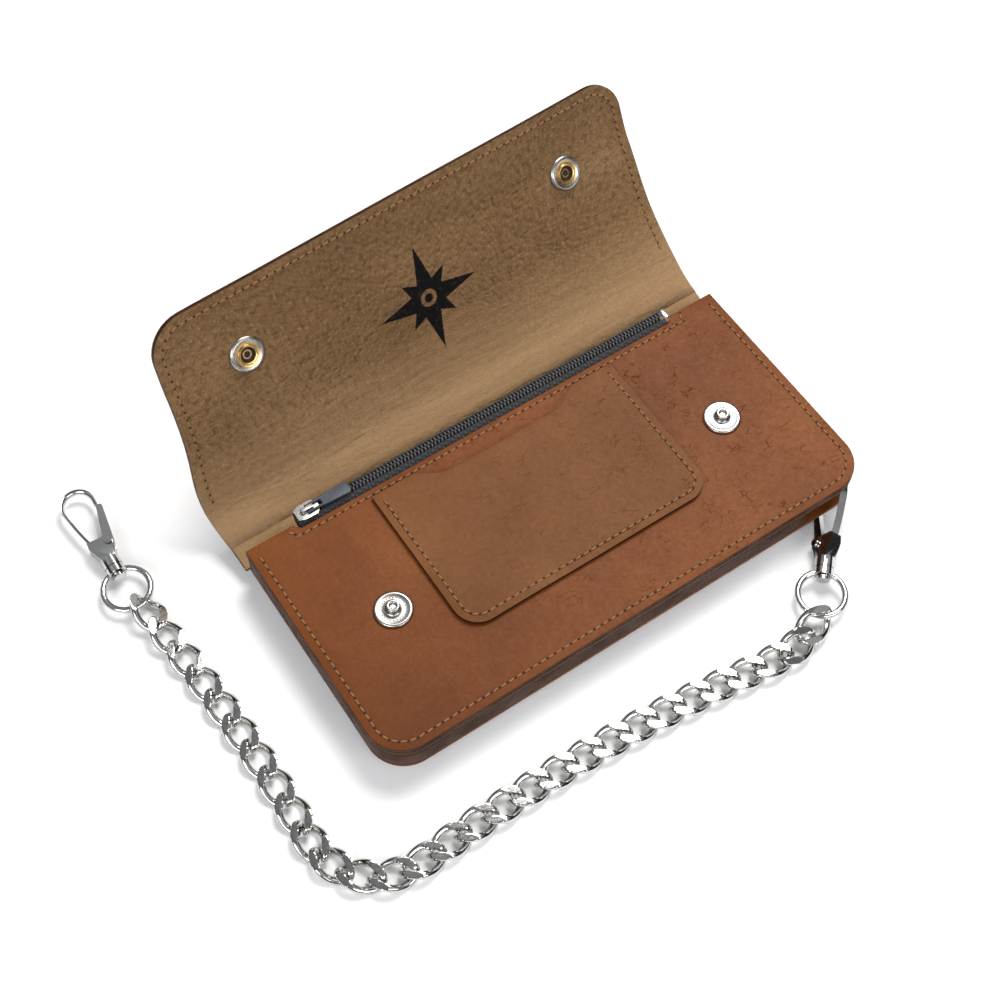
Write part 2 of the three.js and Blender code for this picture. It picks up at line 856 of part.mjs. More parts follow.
// Every link's centre, heading, roll and slope, from the wallet's ring onwards. The chain
// starts level with the far side of that ring.
function linkPlaces(ringCentre, ringFarSide) {
  const turns = chainRuns.flatMap((run) => Array(run.links).fill(run));
  const places = [];
  const startRise = ringFarSide.z + ringNestle - chainZ;
  const riseAt = (joint) => (
    startRise * ringShare(joint) + endRise * ringShare(turns.length - joint)
  );
  const tiltAt = (joint) => ringShare(turns.length - joint) - ringShare(joint);
  const toJoint = ringRadius + ringReach - turns[0].pitch / 2;
  let heading = degrees(claspHeading);
  const at = new THREE.Vector3(ringCentre.x, ringCentre.y, 0);
  at.x += toJoint * Math.cos(heading);
  at.y += toJoint * Math.sin(heading);
  turns.forEach((run, i) => {
    heading += degrees(run.turn);
    const climb = riseAt(i + 1) - riseAt(i);
    const step = new THREE.Vector3(Math.cos(heading), Math.sin(heading), 0);
    at.addScaledVector(step, run.pitch / 2);
    places.push({
      centre: new THREE.Vector3(at.x, at.y, chainZ + (riseAt(i) + riseAt(i + 1)) / 2),
      heading,
      roll: degrees(endRoll) * (tiltAt(i) + tiltAt(i + 1)) / 2,
      slope: -Math.atan2(climb, run.pitch),
    });
    at.addScaledVector(step, run.pitch / 2);
  });
  return places;
}

function chainLinks(places) {
  return places.map(({ centre, heading, roll, slope }, i) => {
    const number = String(i + 1).padStart(2, '0');
    const link = named(`chain_link_${number}`, linkGeometry(), finishes.nickel);
    link.rotation.set(roll, slope, heading, 'ZYX');
    link.position.copy(centre);
    return link;
  });
}

// The free clasp lies flat, beyond the last link
function freeClasp(last) {
  const group = clasp('b', 180);
  const reach = ringReach + ringRadius;
  const ringToSwivel = ringRadius + bossHeight / 2;
  const bend = degrees(freeClaspTurn);
  const ringAt = new THREE.Vector3(
    last.centre.x + reach * Math.cos(last.heading),
    last.centre.y + reach * Math.sin(last.heading),
    chainZ + endRise,
  );
  const along = last.heading + bend - Math.PI / 2;
  group.rotation.z = along;
  group.position.set(
    ringAt.x - ringToSwivel * Math.sin(along),
    ringAt.y + ringToSwivel * Math.cos(along),
    ringAt.z,
  );
  return group;
}

// ---- Assembly ----

function onFlap(mesh, side) {
  mesh.position.set(side * snapX, socketReach, 0);
  return mesh;
}

function foldAndFlap() {
  const spine = new THREE.Group();
  spine.position.set(0, topEdge, hingeHeight);
  spine.rotation.x = degrees(spineRestAngle);
  const flap = new THREE.Group();
  flap.position.y = spineLength;
  flap.rotation.x = degrees(flapRestAngle - spineRestAngle);
  flap.add(flapPanel());
  for (const [place, side] of [['left', -1], ['right', 1]]) {
    flap.add(onFlap(snapCap(`snap_cap_${place}`), side));
    flap.add(onFlap(snapSocket(`snap_socket_${place}`), side));
  }
  spine.add(foldSpine(), flap);
  return spine;
}

function frontSnaps() {
  return [['left', -1], ['right', 1]].flatMap(([place, side]) => {
    const pieces = [snapStud(`snap_stud_${place}`), snapPost(`snap_post_${place}`)];
    for (const piece of pieces) {
      piece.position.set(side * snapX, snapY, 0);
    }
    return pieces;
  });
}

const group = new THREE.Group();
group.add(backPanel(), billWelt(), pocketLining(), coinWelt(), frontPanel(), cardPocket());
group.add(foldAndFlap(), ...frontSnaps(), ...zipper(), chainEyelet());

const claspA = walletClasp();
claspA.updateMatrix();
const ringCentre = new THREE.Vector3(0, -bossHeight / 2 - ringRadius, 0);
const ringFarSide = new THREE.Vector3(0, ringCentre.y - ringRadius, 0);
ringCentre.applyMatrix4(claspA.matrix);
ringFarSide.applyMatrix4(claspA.matrix);
const places = linkPlaces(ringCentre, ringFarSide);
group.add(claspA, ...chainLinks(places), freeClasp(places[places.length - 1]));

export default group;
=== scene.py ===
import json
import math
import random

import bmesh
import bpy
import numpy as np
from mathutils import Matrix, Vector, noise


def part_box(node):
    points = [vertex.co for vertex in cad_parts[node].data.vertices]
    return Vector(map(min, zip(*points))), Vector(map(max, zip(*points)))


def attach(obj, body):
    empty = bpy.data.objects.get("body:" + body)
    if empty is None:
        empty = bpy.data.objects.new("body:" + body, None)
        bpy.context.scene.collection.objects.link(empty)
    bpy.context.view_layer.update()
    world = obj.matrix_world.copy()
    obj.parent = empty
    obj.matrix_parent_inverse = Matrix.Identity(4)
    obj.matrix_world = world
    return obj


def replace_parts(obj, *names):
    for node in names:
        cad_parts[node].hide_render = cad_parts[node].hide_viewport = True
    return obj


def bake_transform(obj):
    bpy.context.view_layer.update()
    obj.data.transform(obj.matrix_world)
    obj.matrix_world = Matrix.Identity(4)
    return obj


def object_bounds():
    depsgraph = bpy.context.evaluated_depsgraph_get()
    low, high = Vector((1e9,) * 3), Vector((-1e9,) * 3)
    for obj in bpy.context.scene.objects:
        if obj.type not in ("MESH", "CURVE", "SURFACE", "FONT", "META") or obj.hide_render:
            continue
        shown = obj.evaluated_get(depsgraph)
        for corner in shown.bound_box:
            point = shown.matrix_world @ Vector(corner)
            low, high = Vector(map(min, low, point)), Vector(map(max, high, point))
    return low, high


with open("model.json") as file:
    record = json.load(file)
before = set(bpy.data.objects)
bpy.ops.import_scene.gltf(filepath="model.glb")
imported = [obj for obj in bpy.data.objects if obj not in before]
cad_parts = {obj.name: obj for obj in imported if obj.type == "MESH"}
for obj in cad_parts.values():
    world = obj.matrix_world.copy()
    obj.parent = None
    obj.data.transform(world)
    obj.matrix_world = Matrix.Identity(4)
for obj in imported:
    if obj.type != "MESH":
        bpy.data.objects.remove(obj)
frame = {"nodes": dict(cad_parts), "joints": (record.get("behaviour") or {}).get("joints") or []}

cad_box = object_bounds()
random.seed(11)
WEAVE_SCALE = 1500.0 / 6.28
CORNER = 0.013
JOINTS = {joint["name"]: joint for joint in frame["joints"]}


# ---- Camera, floor and light ----

def look(obj, target):
    obj.rotation_mode = "QUATERNION"
    obj.rotation_quaternion = (target - obj.location).to_track_quat("-Z", "Y")


def make_camera():
    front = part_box("front_panel")[1].z
    target = Vector((-0.01506, 0.01468, front))
    azimuth, elevation, distance = math.radians(-33.63), math.radians(59.81), 0.54459
    back = Vector((
        math.sin(azimuth) * math.cos(elevation),
        -math.cos(azimuth) * math.cos(elevation),
        math.sin(elevation),
    ))
    data = bpy.data.cameras.new("camera")
    data.sensor_width = 36
    data.lens = 59.02
    data.clip_start = 0.01
    camera = bpy.data.objects.new("camera", data)
    camera.location = target + back * distance
    look(camera, target)
    bpy.context.scene.collection.objects.link(camera)
    bpy.context.scene.camera = camera


def area_light(name, place, target, size, power, colour=(1, 1, 1)):
    data = bpy.data.lights.new(name, "AREA")
    data.shape = "RECTANGLE"
    data.size, data.size_y = size
    data.energy = power
    data.color = colour
    light = bpy.data.objects.new(name, data)
    light.location = place
    look(light, Vector(target))
    bpy.context.scene.collection.objects.link(light)


def make_light():
    world = bpy.data.worlds.new("studio")
    world.use_nodes = True
    tree = world.node_tree
    background = tree.nodes["Background"]
    up = add(tree, "ShaderNodeSeparateXYZ", {0: add(tree, "ShaderNodeTexCoord").outputs[0]})
    sky = ramp(tree, up.outputs[2], [
        (0.0, (0.03, 0.03, 0.035)), (0.42, (0.04, 0.04, 0.045)), (0.56, (0.55, 0.56, 0.58)),
        (0.80, (0.80, 0.82, 0.85)), (0.90, (0.25, 0.26, 0.28))])
    tree.links.new(sky, background.inputs["Color"])
    background.inputs["Strength"].default_value = 0.62
    bpy.context.scene.world = world
    area_light("key", (0.42, 0.30, 0.85), (0, 0.02, 0), (0.5, 0.5), 11, (1, 0.98, 0.95))
    area_light("fill", (-0.75, -0.35, 0.6), (0, 0.02, 0), (0.6, 0.5), 5, (0.96, 0.98, 1))
    area_light("front", (0.1, -0.8, 0.5), (0, 0, 0), (0.7, 0.25), 3.5)
    bpy.context.scene.view_settings.view_transform = "Standard"
    bpy.context.scene.view_settings.look = "None"


# ---- Materials ----

def add(tree, kind, inputs=None, **settings):
    node = tree.nodes.new(kind)
    for key, value in settings.items():
        setattr(node, key, value)
    for key, value in (inputs or {}).items():
        if isinstance(value, bpy.types.NodeSocket):
            tree.links.new(value, node.inputs[key])
        else:
            node.inputs[key].default_value = value
    return node


def rgba(colour):
    return (*colour, 1)


def blank_material(name):
    material = bpy.data.materials.new(name)
    material.use_nodes = True
    tree = material.node_tree
    return material, tree, tree.nodes["Principled BSDF"]


def ramp(tree, factor, stops):
    node = add(tree, "ShaderNodeValToRGB", {"Fac": factor})
    elements = node.color_ramp.elements
    while len(elements) < len(stops):
        elements.new(0.5)
    for element, (place, colour) in zip(elements, stops):
        element.position = place
        element.color = rgba(colour)
    return node.outputs["Color"]


def maths(tree, operation, a, b=0.0):
    return add(tree, "ShaderNodeMath", {0: a, 1: b}, operation=operation).outputs[0]


def noise_of(tree, vector, scale, detail=4.0, roughness=0.55, distortion=0.0):
    return add(tree, "ShaderNodeTexNoise", {
        "Vector": vector, "Scale": scale, "Detail": detail,
        "Roughness": roughness, "Distortion": distortion,
    }).outputs["Fac"]


def mixed(tree, factor, a, b):
    """Two colours mixed. The node's sockets 0, 6 and 7 are its factor and its two colours."""
    node = add(tree, "ShaderNodeMix", data_type="RGBA", blend_type="MIX")
    for key, value in ((0, factor), (6, a), (7, b)):
        if isinstance(value, bpy.types.NodeSocket):
            tree.links.new(value, node.inputs[key])
        else:
            node.inputs[key].default_value = value
    return node.outputs[2]


def mapped(tree, value, low, high, to_low=0.0, to_high=1.0):
    return add(tree, "ShaderNodeMapRange", {
        "Value": value, "From Min": low, "From Max": high, "To Min": to_low, "To Max": to_high,
    }).outputs[0]


def bump(tree, bsdf, height, strength, distance):
    node = add(tree, "ShaderNodeBump", {
        "Height": height, "Strength": strength, "Distance": distance,
    })
    tree.links.new(node.outputs[0], bsdf.inputs["Normal"])


def coordinates(tree, by_uv=False):
    node = add(tree, "ShaderNodeTexCoord")
    return node.outputs["UV" if by_uv else "Object"]


def leather_material(name, stops, by_uv=False, rough=(0.5, 0.68), creases=0.5, pebble=0.5):
    """Pull-up leather: broad pull-up clouds, fine grain, pores and short dark creases."""
    material, tree, bsdf = blank_material(name)
    at = coordinates(tree, by_uv)
    clouds = noise_of(tree, at, 16, 5, 0.62, 0.4)
    colour = ramp(tree, clouds, stops)
    grain = noise_of(tree, at, 650, 4, 0.7)
    colour = mixed(tree, mapped(tree, grain, 0.35, 0.75, 0.0, 0.28), colour,
                   rgba([c * 0.62 for c in stops[0][1]]))
    wander = add(tree, "ShaderNodeTexNoise", {"Vector": at, "Scale": 90.0, "Detail": 2.0})
    bent = add(tree, "ShaderNodeVectorMath", {0: wander.outputs["Color"], 1: (0.011, 0.011, 0.011)},
               operation="MULTIPLY")
    bent = add(tree, "ShaderNodeVectorMath", {0: at, 1: bent.outputs[0]}, operation="ADD")
    long = add(tree, "ShaderNodeMapping", {"Vector": bent.outputs[0],
                                           "Rotation": (0, 0, 0.5), "Scale": (1.0, 2.1, 1.0)})
    cells = add(tree, "ShaderNodeTexVoronoi", {"Vector": long.outputs[0], "Scale": 190.0},
                feature="DISTANCE_TO_EDGE").outputs["Distance"]
    line = mapped(tree, cells, 0.0, 0.045, 1.0, 0.0)
    patches = mapped(tree, noise_of(tree, at, 190, 3, 0.6), 0.52, 0.66)
    right = add(tree, "ShaderNodeSeparateXYZ", {0: at}).outputs[0]
    side = mapped(tree, right, -0.06, 0.05, 0.18, 1.0)
    crease = maths(tree, "MULTIPLY", maths(tree, "MULTIPLY", line, patches), side)
    colour = mixed(tree, maths(tree, "MULTIPLY", crease, creases), colour,
                   rgba([c * 0.3 for c in stops[0][1]]))
    tree.links.new(colour, bsdf.inputs["Base Color"])
    tree.links.new(mapped(tree, grain, 0.3, 0.8, *rough), bsdf.inputs["Roughness"])
    bsdf.inputs["Specular IOR Level"].default_value = 0.14
    pores = add(tree, "ShaderNodeTexVoronoi", {"Vector": at, "Scale": 900.0}
                ).outputs["Distance"]
    height = maths(tree, "MULTIPLY", pores, pebble * 0.25)
    height = maths(tree, "ADD", height, maths(tree, "MULTIPLY", grain, 0.5))
    height = maths(tree, "ADD", height, maths(tree, "MULTIPLY", noise_of(tree, at, 120, 3), 0.9))
    height = maths(tree, "SUBTRACT", height, maths(tree, "MULTIPLY", crease, 0.8))
    bump(tree, bsdf, height, 0.55, 0.00035)
    return material


def edge_material(name, dark, light):
    """A burnished cut edge: fine streaks along the layers."""
    material, tree, bsdf = blank_material(name)
    at = coordinates(tree)
    stretched = add(tree, "ShaderNodeMapping", {"Vector": at, "Scale": (40.0, 40.0, 1700.0)})
    streaks = noise_of(tree, stretched.outputs[0], 1.0, 5, 0.7)
    blotch = noise_of(tree, at, 130, 3)
    colour = ramp(tree, streaks, [(0.32, dark), (0.68, light)])
    colour = mixed(tree, mapped(tree, blotch, 0.4, 0.7, 0.0, 0.45), colour,
                   rgba([c * 0.55 for c in dark]))
    tree.links.new(colour, bsdf.inputs["Base Color"])
    tree.links.new(mapped(tree, blotch, 0.3, 0.7, 0.38, 0.62), bsdf.inputs["Roughness"])
    bsdf.inputs["Specular IOR Level"].default_value = 0.12
    bump(tree, bsdf, streaks, 0.4, 0.0002)
    return material


def star_reach(tree, angle, tip, notch):
    """How far a four-pointed star with straight sides reaches at each angle."""
    corner = math.pi / 4
    off = maths(tree, "PINGPONG", angle, corner)
    left = maths(tree, "MULTIPLY", maths(tree, "SINE", maths(tree, "SUBTRACT", corner, off)), notch)
    right = maths(tree, "MULTIPLY", maths(tree, "SINE", off), tip)
    return maths(tree, "DIVIDE", tip * notch * math.sin(corner), maths(tree, "ADD", left, right))


def star_mask(tree, at, centre, size):
    """A compass star: four long points and four short ones, printed with a worn edge."""
    parts = add(tree, "ShaderNodeSeparateXYZ", {0: at})
    x = maths(tree, "SUBTRACT", parts.outputs[0], centre[0])
    y = maths(tree, "SUBTRACT", parts.outputs[1], centre[1])
    angle = maths(tree, "ARCTAN2", y, x)
    radius = maths(tree, "SQRT", maths(tree, "ADD", maths(tree, "MULTIPLY", x, x),
                                       maths(tree, "MULTIPLY", y, y)))
    reach = star_reach(tree, angle, size, 0.26 * size)
    turned_on = maths(tree, "ADD", angle, math.pi / 4)
    reach = maths(tree, "MAXIMUM", reach, star_reach(tree, turned_on, 0.62 * size, 0.24 * size))
    ragged = maths(tree, "MULTIPLY", noise_of(tree, at, 900, 2), 0.0007)
    inside = maths(tree, "SUBTRACT", maths(tree, "ADD", reach, ragged), radius)
    shape = mapped(tree, inside, 0.0, 0.0003)
    hollow = mapped(tree, radius, 0.0030, 0.0033)
    dot = mapped(tree, radius, 0.0018, 0.0015)
    return maths(tree, "MAXIMUM", maths(tree, "MULTIPLY", shape, hollow), dot)


def suede_material(name, star_at, star_size):
    """The flap's flesh side: short nap with fine dark flecks, wrinkled across near the fold, and
    made paler towards the fold with painted light.
    """
    material, tree, bsdf = blank_material(name)
    at = coordinates(tree, True)
    clouds = noise_of(tree, at, 14, 5, 0.6, 0.3)
    colour = ramp(tree, clouds, [(0.25, (0.118, 0.062, 0.025)), (0.5, (0.182, 0.102, 0.046)),
                                 (0.8, (0.255, 0.152, 0.075))])
    nap = noise_of(tree, at, 430, 5, 0.78)
    colour = mixed(tree, mapped(tree, nap, 0.46, 0.64, 0.0, 0.75), colour,
                   rgba((0.065, 0.036, 0.017)))
    light = noise_of(tree, at, 880, 3, 0.7)
    colour = mixed(tree, mapped(tree, light, 0.54, 0.75, 0.0, 0.5), colour,
                   rgba((0.42, 0.30, 0.18)))
    across = add(tree, "ShaderNodeMapping", {"Vector": at, "Scale": (60.0, 330.0, 1.0)})
    wrinkles = noise_of(tree, across.outputs[0], 1.0, 3, 0.5, 0.6)
    up = add(tree, "ShaderNodeSeparateXYZ", {0: at}).outputs[1]
    near_fold = mapped(tree, up, 0.055, 0.018)
    folds = maths(tree, "MULTIPLY", wrinkles, near_fold)
    colour = mixed(tree, mapped(tree, folds, 0.5, 0.8, 0.0, 0.4), colour,
                   rgba((0.07, 0.04, 0.02)))
    # painted light: the suede is made paler towards the fold, where light from above falls on the
    # bend
    painted_fold_light = mapped(tree, up, 0.030, 0.002, 0.0, 0.6)
    colour = mixed(tree, painted_fold_light, colour, rgba((0.36, 0.225, 0.118)))
    star = star_mask(tree, at, star_at, star_size)
    worn = mapped(tree, nap, 0.28, 0.45, 0.75, 1.0)
    colour = mixed(tree, maths(tree, "MULTIPLY", star, worn), colour, rgba((0.004, 0.004, 0.004)))
    tree.links.new(colour, bsdf.inputs["Base Color"])
    tree.links.new(mapped(tree, nap, 0.3, 0.7, 0.82, 0.97), bsdf.inputs["Roughness"])
    bsdf.inputs["Specular IOR Level"].default_value = 0.04
    bsdf.inputs["Sheen Weight"].default_value = 0.05
    bsdf.inputs["Sheen Roughness"].default_value = 0.5
    height = maths(tree, "ADD", nap, maths(tree, "MULTIPLY", folds, 1.6))
    bump(tree, bsdf, height, 0.85, 0.0005)
    return material


def metal_material(name, colour, rough, wear=0.06, tint=(0.35, 0.33, 0.3)):
    material, tree, bsdf = blank_material(name)
    at = coordinates(tree)
    smudge = noise_of(tree, at, 160, 4, 0.6)
    fine = noise_of(tree, at, 1600, 3, 0.7)
    dull = mapped(tree, smudge, 0.52, 0.8, 0.0, 0.35)
    tree.links.new(mixed(tree, dull, rgba(colour), rgba(tint)), bsdf.inputs["Base Color"])
    tree.links.new(mapped(tree, fine, 0.3, 0.7, rough, rough + wear), bsdf.inputs["Roughness"])
    bsdf.inputs["Metallic"].default_value = 1.0
    height = maths(tree, "ADD", maths(tree, "MULTIPLY", fine, 0.2), smudge)
    bump(tree, bsdf, height, 0.12, 0.0002)
    return material


def woven_material(name, colour, light):
    material, tree, bsdf = blank_material(name)
    at = coordinates(tree)
    bands = [add(tree, "ShaderNodeTexWave", {
        "Vector": at, "Scale": WEAVE_SCALE, "Distortion": 0.4, "Detail": 1.0,
    }, bands_direction=axis).outputs["Fac"] for axis in ("DIAGONAL", "X")]
    weave = maths(tree, "MULTIPLY", bands[0], bands[1])
    fuzz = noise_of(tree, at, 900, 3)
    tree.links.new(mixed(tree, weave, rgba(colour), rgba(light)), bsdf.inputs["Base Color"])
    tree.links.new(mapped(tree, fuzz, 0.3, 0.7, 0.7, 0.95), bsdf.inputs["Roughness"])
    bsdf.inputs["Sheen Weight"].default_value = 0.2
    bump(tree, bsdf, maths(tree, "ADD", weave, fuzz), 0.6, 0.0003)
    return material


def plain_grained(name, colour, light, rough, scale=700.0, strength=0.2):
    """Moulded or twisted stuff with a fine speckle: thread, coil, rubber, floor."""
    material, tree, bsdf = blank_material(name)
    at = coordinates(tree)
    speck = noise_of(tree, at, scale, 4, 0.65)
    tree.links.new(ramp(tree, speck, [(0.3, colour), (0.7, light)]), bsdf.inputs["Base Color"])
    tree.links.new(mapped(tree, speck, 0.3, 0.7, rough, min(rough + 0.15, 1.0)),
                   bsdf.inputs["Roughness"])
    bump(tree, bsdf, speck, strength, 0.0002)
    return material


# ---- Mesh helpers ----

def object_from(name, vertices, faces, materials, face_slots=None, smooth=True):
    mesh = bpy.data.meshes.new(name)
    mesh.from_pydata([tuple(v) for v in vertices], [], faces)
    for material in materials:
        mesh.materials.append(material)
    if face_slots is not None:
        mesh.polygons.foreach_set("material_index", face_slots)
    mesh.polygons.foreach_set("use_smooth", [smooth] * len(mesh.polygons))
    mesh.update()
    obj = bpy.data.objects.new(name, mesh)
    bpy.context.scene.collection.objects.link(obj)
    return obj


def arc(cx, cy, radius, start, end, steps=10):
    return [
        (cx + radius * math.cos(math.radians(start + (end - start) * i / steps)),
         cy + radius * math.sin(math.radians(start + (end - start) * i / steps)))
        for i in range(steps + 1)
    ]


def plate(name, outline, low, high, face_material, side_material, rim=0.00045, cell=0.006,
          ripple=0.00012, seam=None):
    """A leather panel: its outline cut into cells, made thick, with rounded rims but no rim at
    the seam, where another sheet goes on."""
    bm = bmesh.new()
    ring = [bm.verts.new((x, y, low)) for x, y in outline]
    bm.faces.new(ring)
    xs, ys = [p[0] for p in outline], [p[1] for p in outline]
    for axis, values in ((0, xs), (1, ys)):
        start, end = min(values), max(values)
        count = max(2, round((end - start) / cell))
        for i in range(1, count):
            place, normal = Vector((0, 0, 0)), Vector((0, 0, 0))
            place[axis] = start + (end - start) * i / count
            normal[axis] = 1
            geometry = bm.verts[:] + bm.edges[:] + bm.faces[:]
            bmesh.ops.bisect_plane(bm, geom=geometry, plane_co=place, plane_no=normal)
    bmesh.ops.recalc_face_normals(bm, faces=bm.faces)
    made = bmesh.ops.extrude_face_region(bm, geom=bm.faces[:])
    for item in made["geom"]:
        if isinstance(item, bmesh.types.BMVert):
            item.co.z = high
    bmesh.ops.recalc_face_normals(bm, faces=bm.faces)
    rims = [e for e in bm.edges if len(e.link_faces) == 2 and e.calc_face_angle(0) > 1.2]
    if seam is not None:
        rims = [e for e in rims if any(abs(v.co.y - seam) > 1e-6 for v in e.verts)]
    bmesh.ops.bevel(bm, geom=rims, offset=rim, segments=3, profile=0.5, affect="EDGES",
                    clamp_overlap=True)
    for face in bm.faces:
        face.material_index = 1 if abs(face.normal.z) < 0.8 else 0
        face.smooth = True
    for vertex in bm.verts:
        vertex.co.z += ripple * (noise.noise(vertex.co * 38) - 0.2)
    mesh = bpy.data.meshes.new(name)
    bm.to_mesh(mesh)
    bm.free()
    mesh.materials.append(face_material)
    mesh.materials.append(side_material)
    obj = bpy.data.objects.new(name, mesh)
    bpy.context.scene.collection.objects.link(obj)
    return obj


def sharpen(obj, degrees):
    """Faces turned outward, and edges steeper than that many degrees kept crisp."""
    bm = bmesh.new()
    bm.from_mesh(obj.data)
    bmesh.ops.recalc_face_normals(bm, faces=bm.faces)
    for edge in bm.edges:
        edge.smooth = edge.calc_face_angle(0) < math.radians(degrees)
    bm.to_mesh(obj.data)
    bm.free()
    return obj


class Parts:
    """Gathers many small closed shapes into one mesh."""

    def __init__(self):
        self.vertices, self.faces, self.slots = [], [], []

    def ellipsoid(self, matrix, size, slot, around=8, along=5):
        base = len(self.vertices)
        for i in range(1, along):
            polar = math.pi * i / along
            for j in range(around):
                turn = 2 * math.pi * j / around
                self.vertices.append(matrix @ Vector((
                    size[0] * math.cos(polar),
                    size[1] * math.sin(polar) * math.cos(turn),
                    size[2] * math.sin(polar) * math.sin(turn),
                )))
        first, last = len(self.vertices), len(self.vertices) + 1
        self.vertices.append(matrix @ Vector((size[0], 0, 0)))
        self.vertices.append(matrix @ Vector((-size[0], 0, 0)))
        for j in range(around):
            k = (j + 1) % around
            self.faces.append((first, base + j, base + k))
            self.slots.append(slot)
            for i in range(along - 2):
                a, b = base + i * around, base + (i + 1) * around
                self.faces.append((a + j, b + j, b + k, a + k))
                self.slots.append(slot)
            end = base + (along - 2) * around
            self.faces.append((end + j, last, end + k))
            self.slots.append(slot)

    def made(self, name, materials):
        return object_from(name, self.vertices, self.faces, materials, self.slots)


def along_path(points, pitch):
    """Evenly spaced places and directions along a line of 2D points."""
    lengths = [0.0]
    for a, b in zip(points, points[1:]):
        lengths.append(lengths[-1] + math.dist(a, b))
    count = max(1, round(lengths[-1] / pitch))
    made = []
    k = 0
    for i in range(count):
        want = (i + 0.5) * lengths[-1] / count
        while lengths[k + 1] < want:
            k += 1
        a, b = points[k], points[k + 1]
        share = (want - lengths[k]) / (lengths[k + 1] - lengths[k])
        made.append((a[0] + (b[0] - a[0]) * share, a[1] + (b[1] - a[1]) * share,
                     math.atan2(b[1] - a[1], b[0] - a[0])))
    return made


STITCH = 0.003
TURNED_CRISP = math.degrees(0.9)


def stitch(parts, matrix):
    """One saddle stitch: a thread that slants between two punched holes, with a flat dark disc of
    painted shade where it goes into a hole.
    """
    slant = Matrix.Rotation(math.radians(7 + random.uniform(-3, 3)), 4, "Z")
    parts.ellipsoid(matrix @ slant, (0.00118, 0.00038, 0.00030), 0)
    # painted shade: a flat dark disc stands for the shaded hole the thread goes into
    hole = matrix @ Matrix.Translation((STITCH / 2, 0, 0))
    parts.ellipsoid(hole, (0.00046, 0.00042, 0.00012), 1, 8, 4)


def flat_stitches(name, paths, height):
    parts = Parts()
    for points in paths:
        for x, y, turn in along_path(points, STITCH):
            place = Matrix.Translation((x, y, height)) @ Matrix.Rotation(turn, 4, "Z")
            stitch(parts, place)
    obj = parts.made(name, [MATERIALS["thread"], MATERIALS["hole"]])
    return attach(obj, "wallet")


def turned(name, profile, matrix, materials, slots=None, segments=48):
    """A profile of (radius, height) turned about Z. It closes on itself or on the axis."""
    vertices, faces, face_slots = [], [], []
    rings = []
    for radius, height in profile:
        if radius < 1e-9:
            rings.append([len(vertices)])
            vertices.append(Vector((0, 0, height)))
            continue
        rings.append(list(range(len(vertices), len(vertices) + segments)))
        for j in range(segments):
            turn = 2 * math.pi * j / segments
            vertices.append(Vector((radius * math.cos(turn), radius * math.sin(turn), height)))
    pairs = list(zip(rings, rings[1:]))
    if len(rings[0]) > 1:
        pairs.append((rings[-1], rings[0]))
    for number, (a, b) in enumerate(pairs):
        slot = slots[number] if slots else 0
        for j in range(segments):
            k = (j + 1) % segments
            if len(a) == 1:
                faces.append((a[0], b[j], b[k]))
            elif len(b) == 1:
                faces.append((a[j], b[0], a[k]))
            else:
                faces.append((a[j], b[j], b[k], a[k]))
            face_slots.append(slot)
    vertices = [matrix @ v for v in vertices]
    return sharpen(object_from(name, vertices, faces, materials, face_slots), TURNED_CRISP)


# ---- The flap: one sheet of leather from the spine's middle to its free edge ----

HINGE = Vector(JOINTS["flap_fold"]["pos_m"])
SPINE_FOLD = Vector(JOINTS["spine_fold"]["pos_m"])
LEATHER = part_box("back_panel")[1].z
HALF = LEATHER / 2
SPINE_LENGTH = (HINGE.yz - SPINE_FOLD.yz).length
SPINE_TURN = math.atan2(HINGE.z - SPINE_FOLD.z, HINGE.y - SPINE_FOLD.y)
FLAP_TURN = math.radians(55)
FLAP_LENGTH = 0.078
TAPER = 0.0015

# The sheet's slope at which a shut flap stops, before the spine folds: 3.5 degrees short of
# lying flat on the front, so that its sockets stay clear of the studs
FLAT_TURN = math.radians(126.5)
FLAP_TRAVEL = math.radians(JOINTS["flap_fold"]["range_deg"][1])
SEAM = -SPINE_LENGTH / 2
BEND = 0.007
NEAREST = 0.014
HALF_WIDTH = 0.095
PROFILE_STEP = 0.0005
PROFILE_MARGIN = 0.004

# How far the sheet stands off a flat one: the middle's bow and the twist, at these heights
BASE = (0.0, 0.014, 0.029, 0.050, 0.056, 0.078)
MIDDLE = (0.0, -0.0008, -0.0007, 0.0022, 0.0026, 0.0085)
TWIST = (0.0, 0.0036, 0.0070, 0.0098, 0.0102, 0.0118)


def smooth_step(t):
    t = min(max(t, 0.0), 1.0)
    return t * t * (3 - 2 * t)


def spline(knots, values, at):
    """A curve through the knots, level before the first and straight past the last."""
    slopes = [(values[1] - values[0]) / (knots[1] - knots[0]) * 0.6]
    for i in range(1, len(knots) - 1):
        slopes.append((values[i + 1] - values[i - 1]) / (knots[i + 1] - knots[i - 1]))
    slopes.append((values[-1] - values[-2]) / (knots[-1] - knots[-2]))
    if at <= knots[0]:
        return values[0]
    if at >= knots[-1]:
        return values[-1] + slopes[-1] * (at - knots[-1])
    i = max(k for k in range(len(knots) - 1) if knots[k] <= at)
    width = knots[i + 1] - knots[i]
    t = (at - knots[i]) / width
    a, b = values[i], values[i + 1]
    return (a * (1 + 2 * t) * (1 - t) ** 2 + slopes[i] * width * t * (1 - t) ** 2
            + b * t * t * (3 - 2 * t) + slopes[i + 1] * width * t * t * (t - 1))


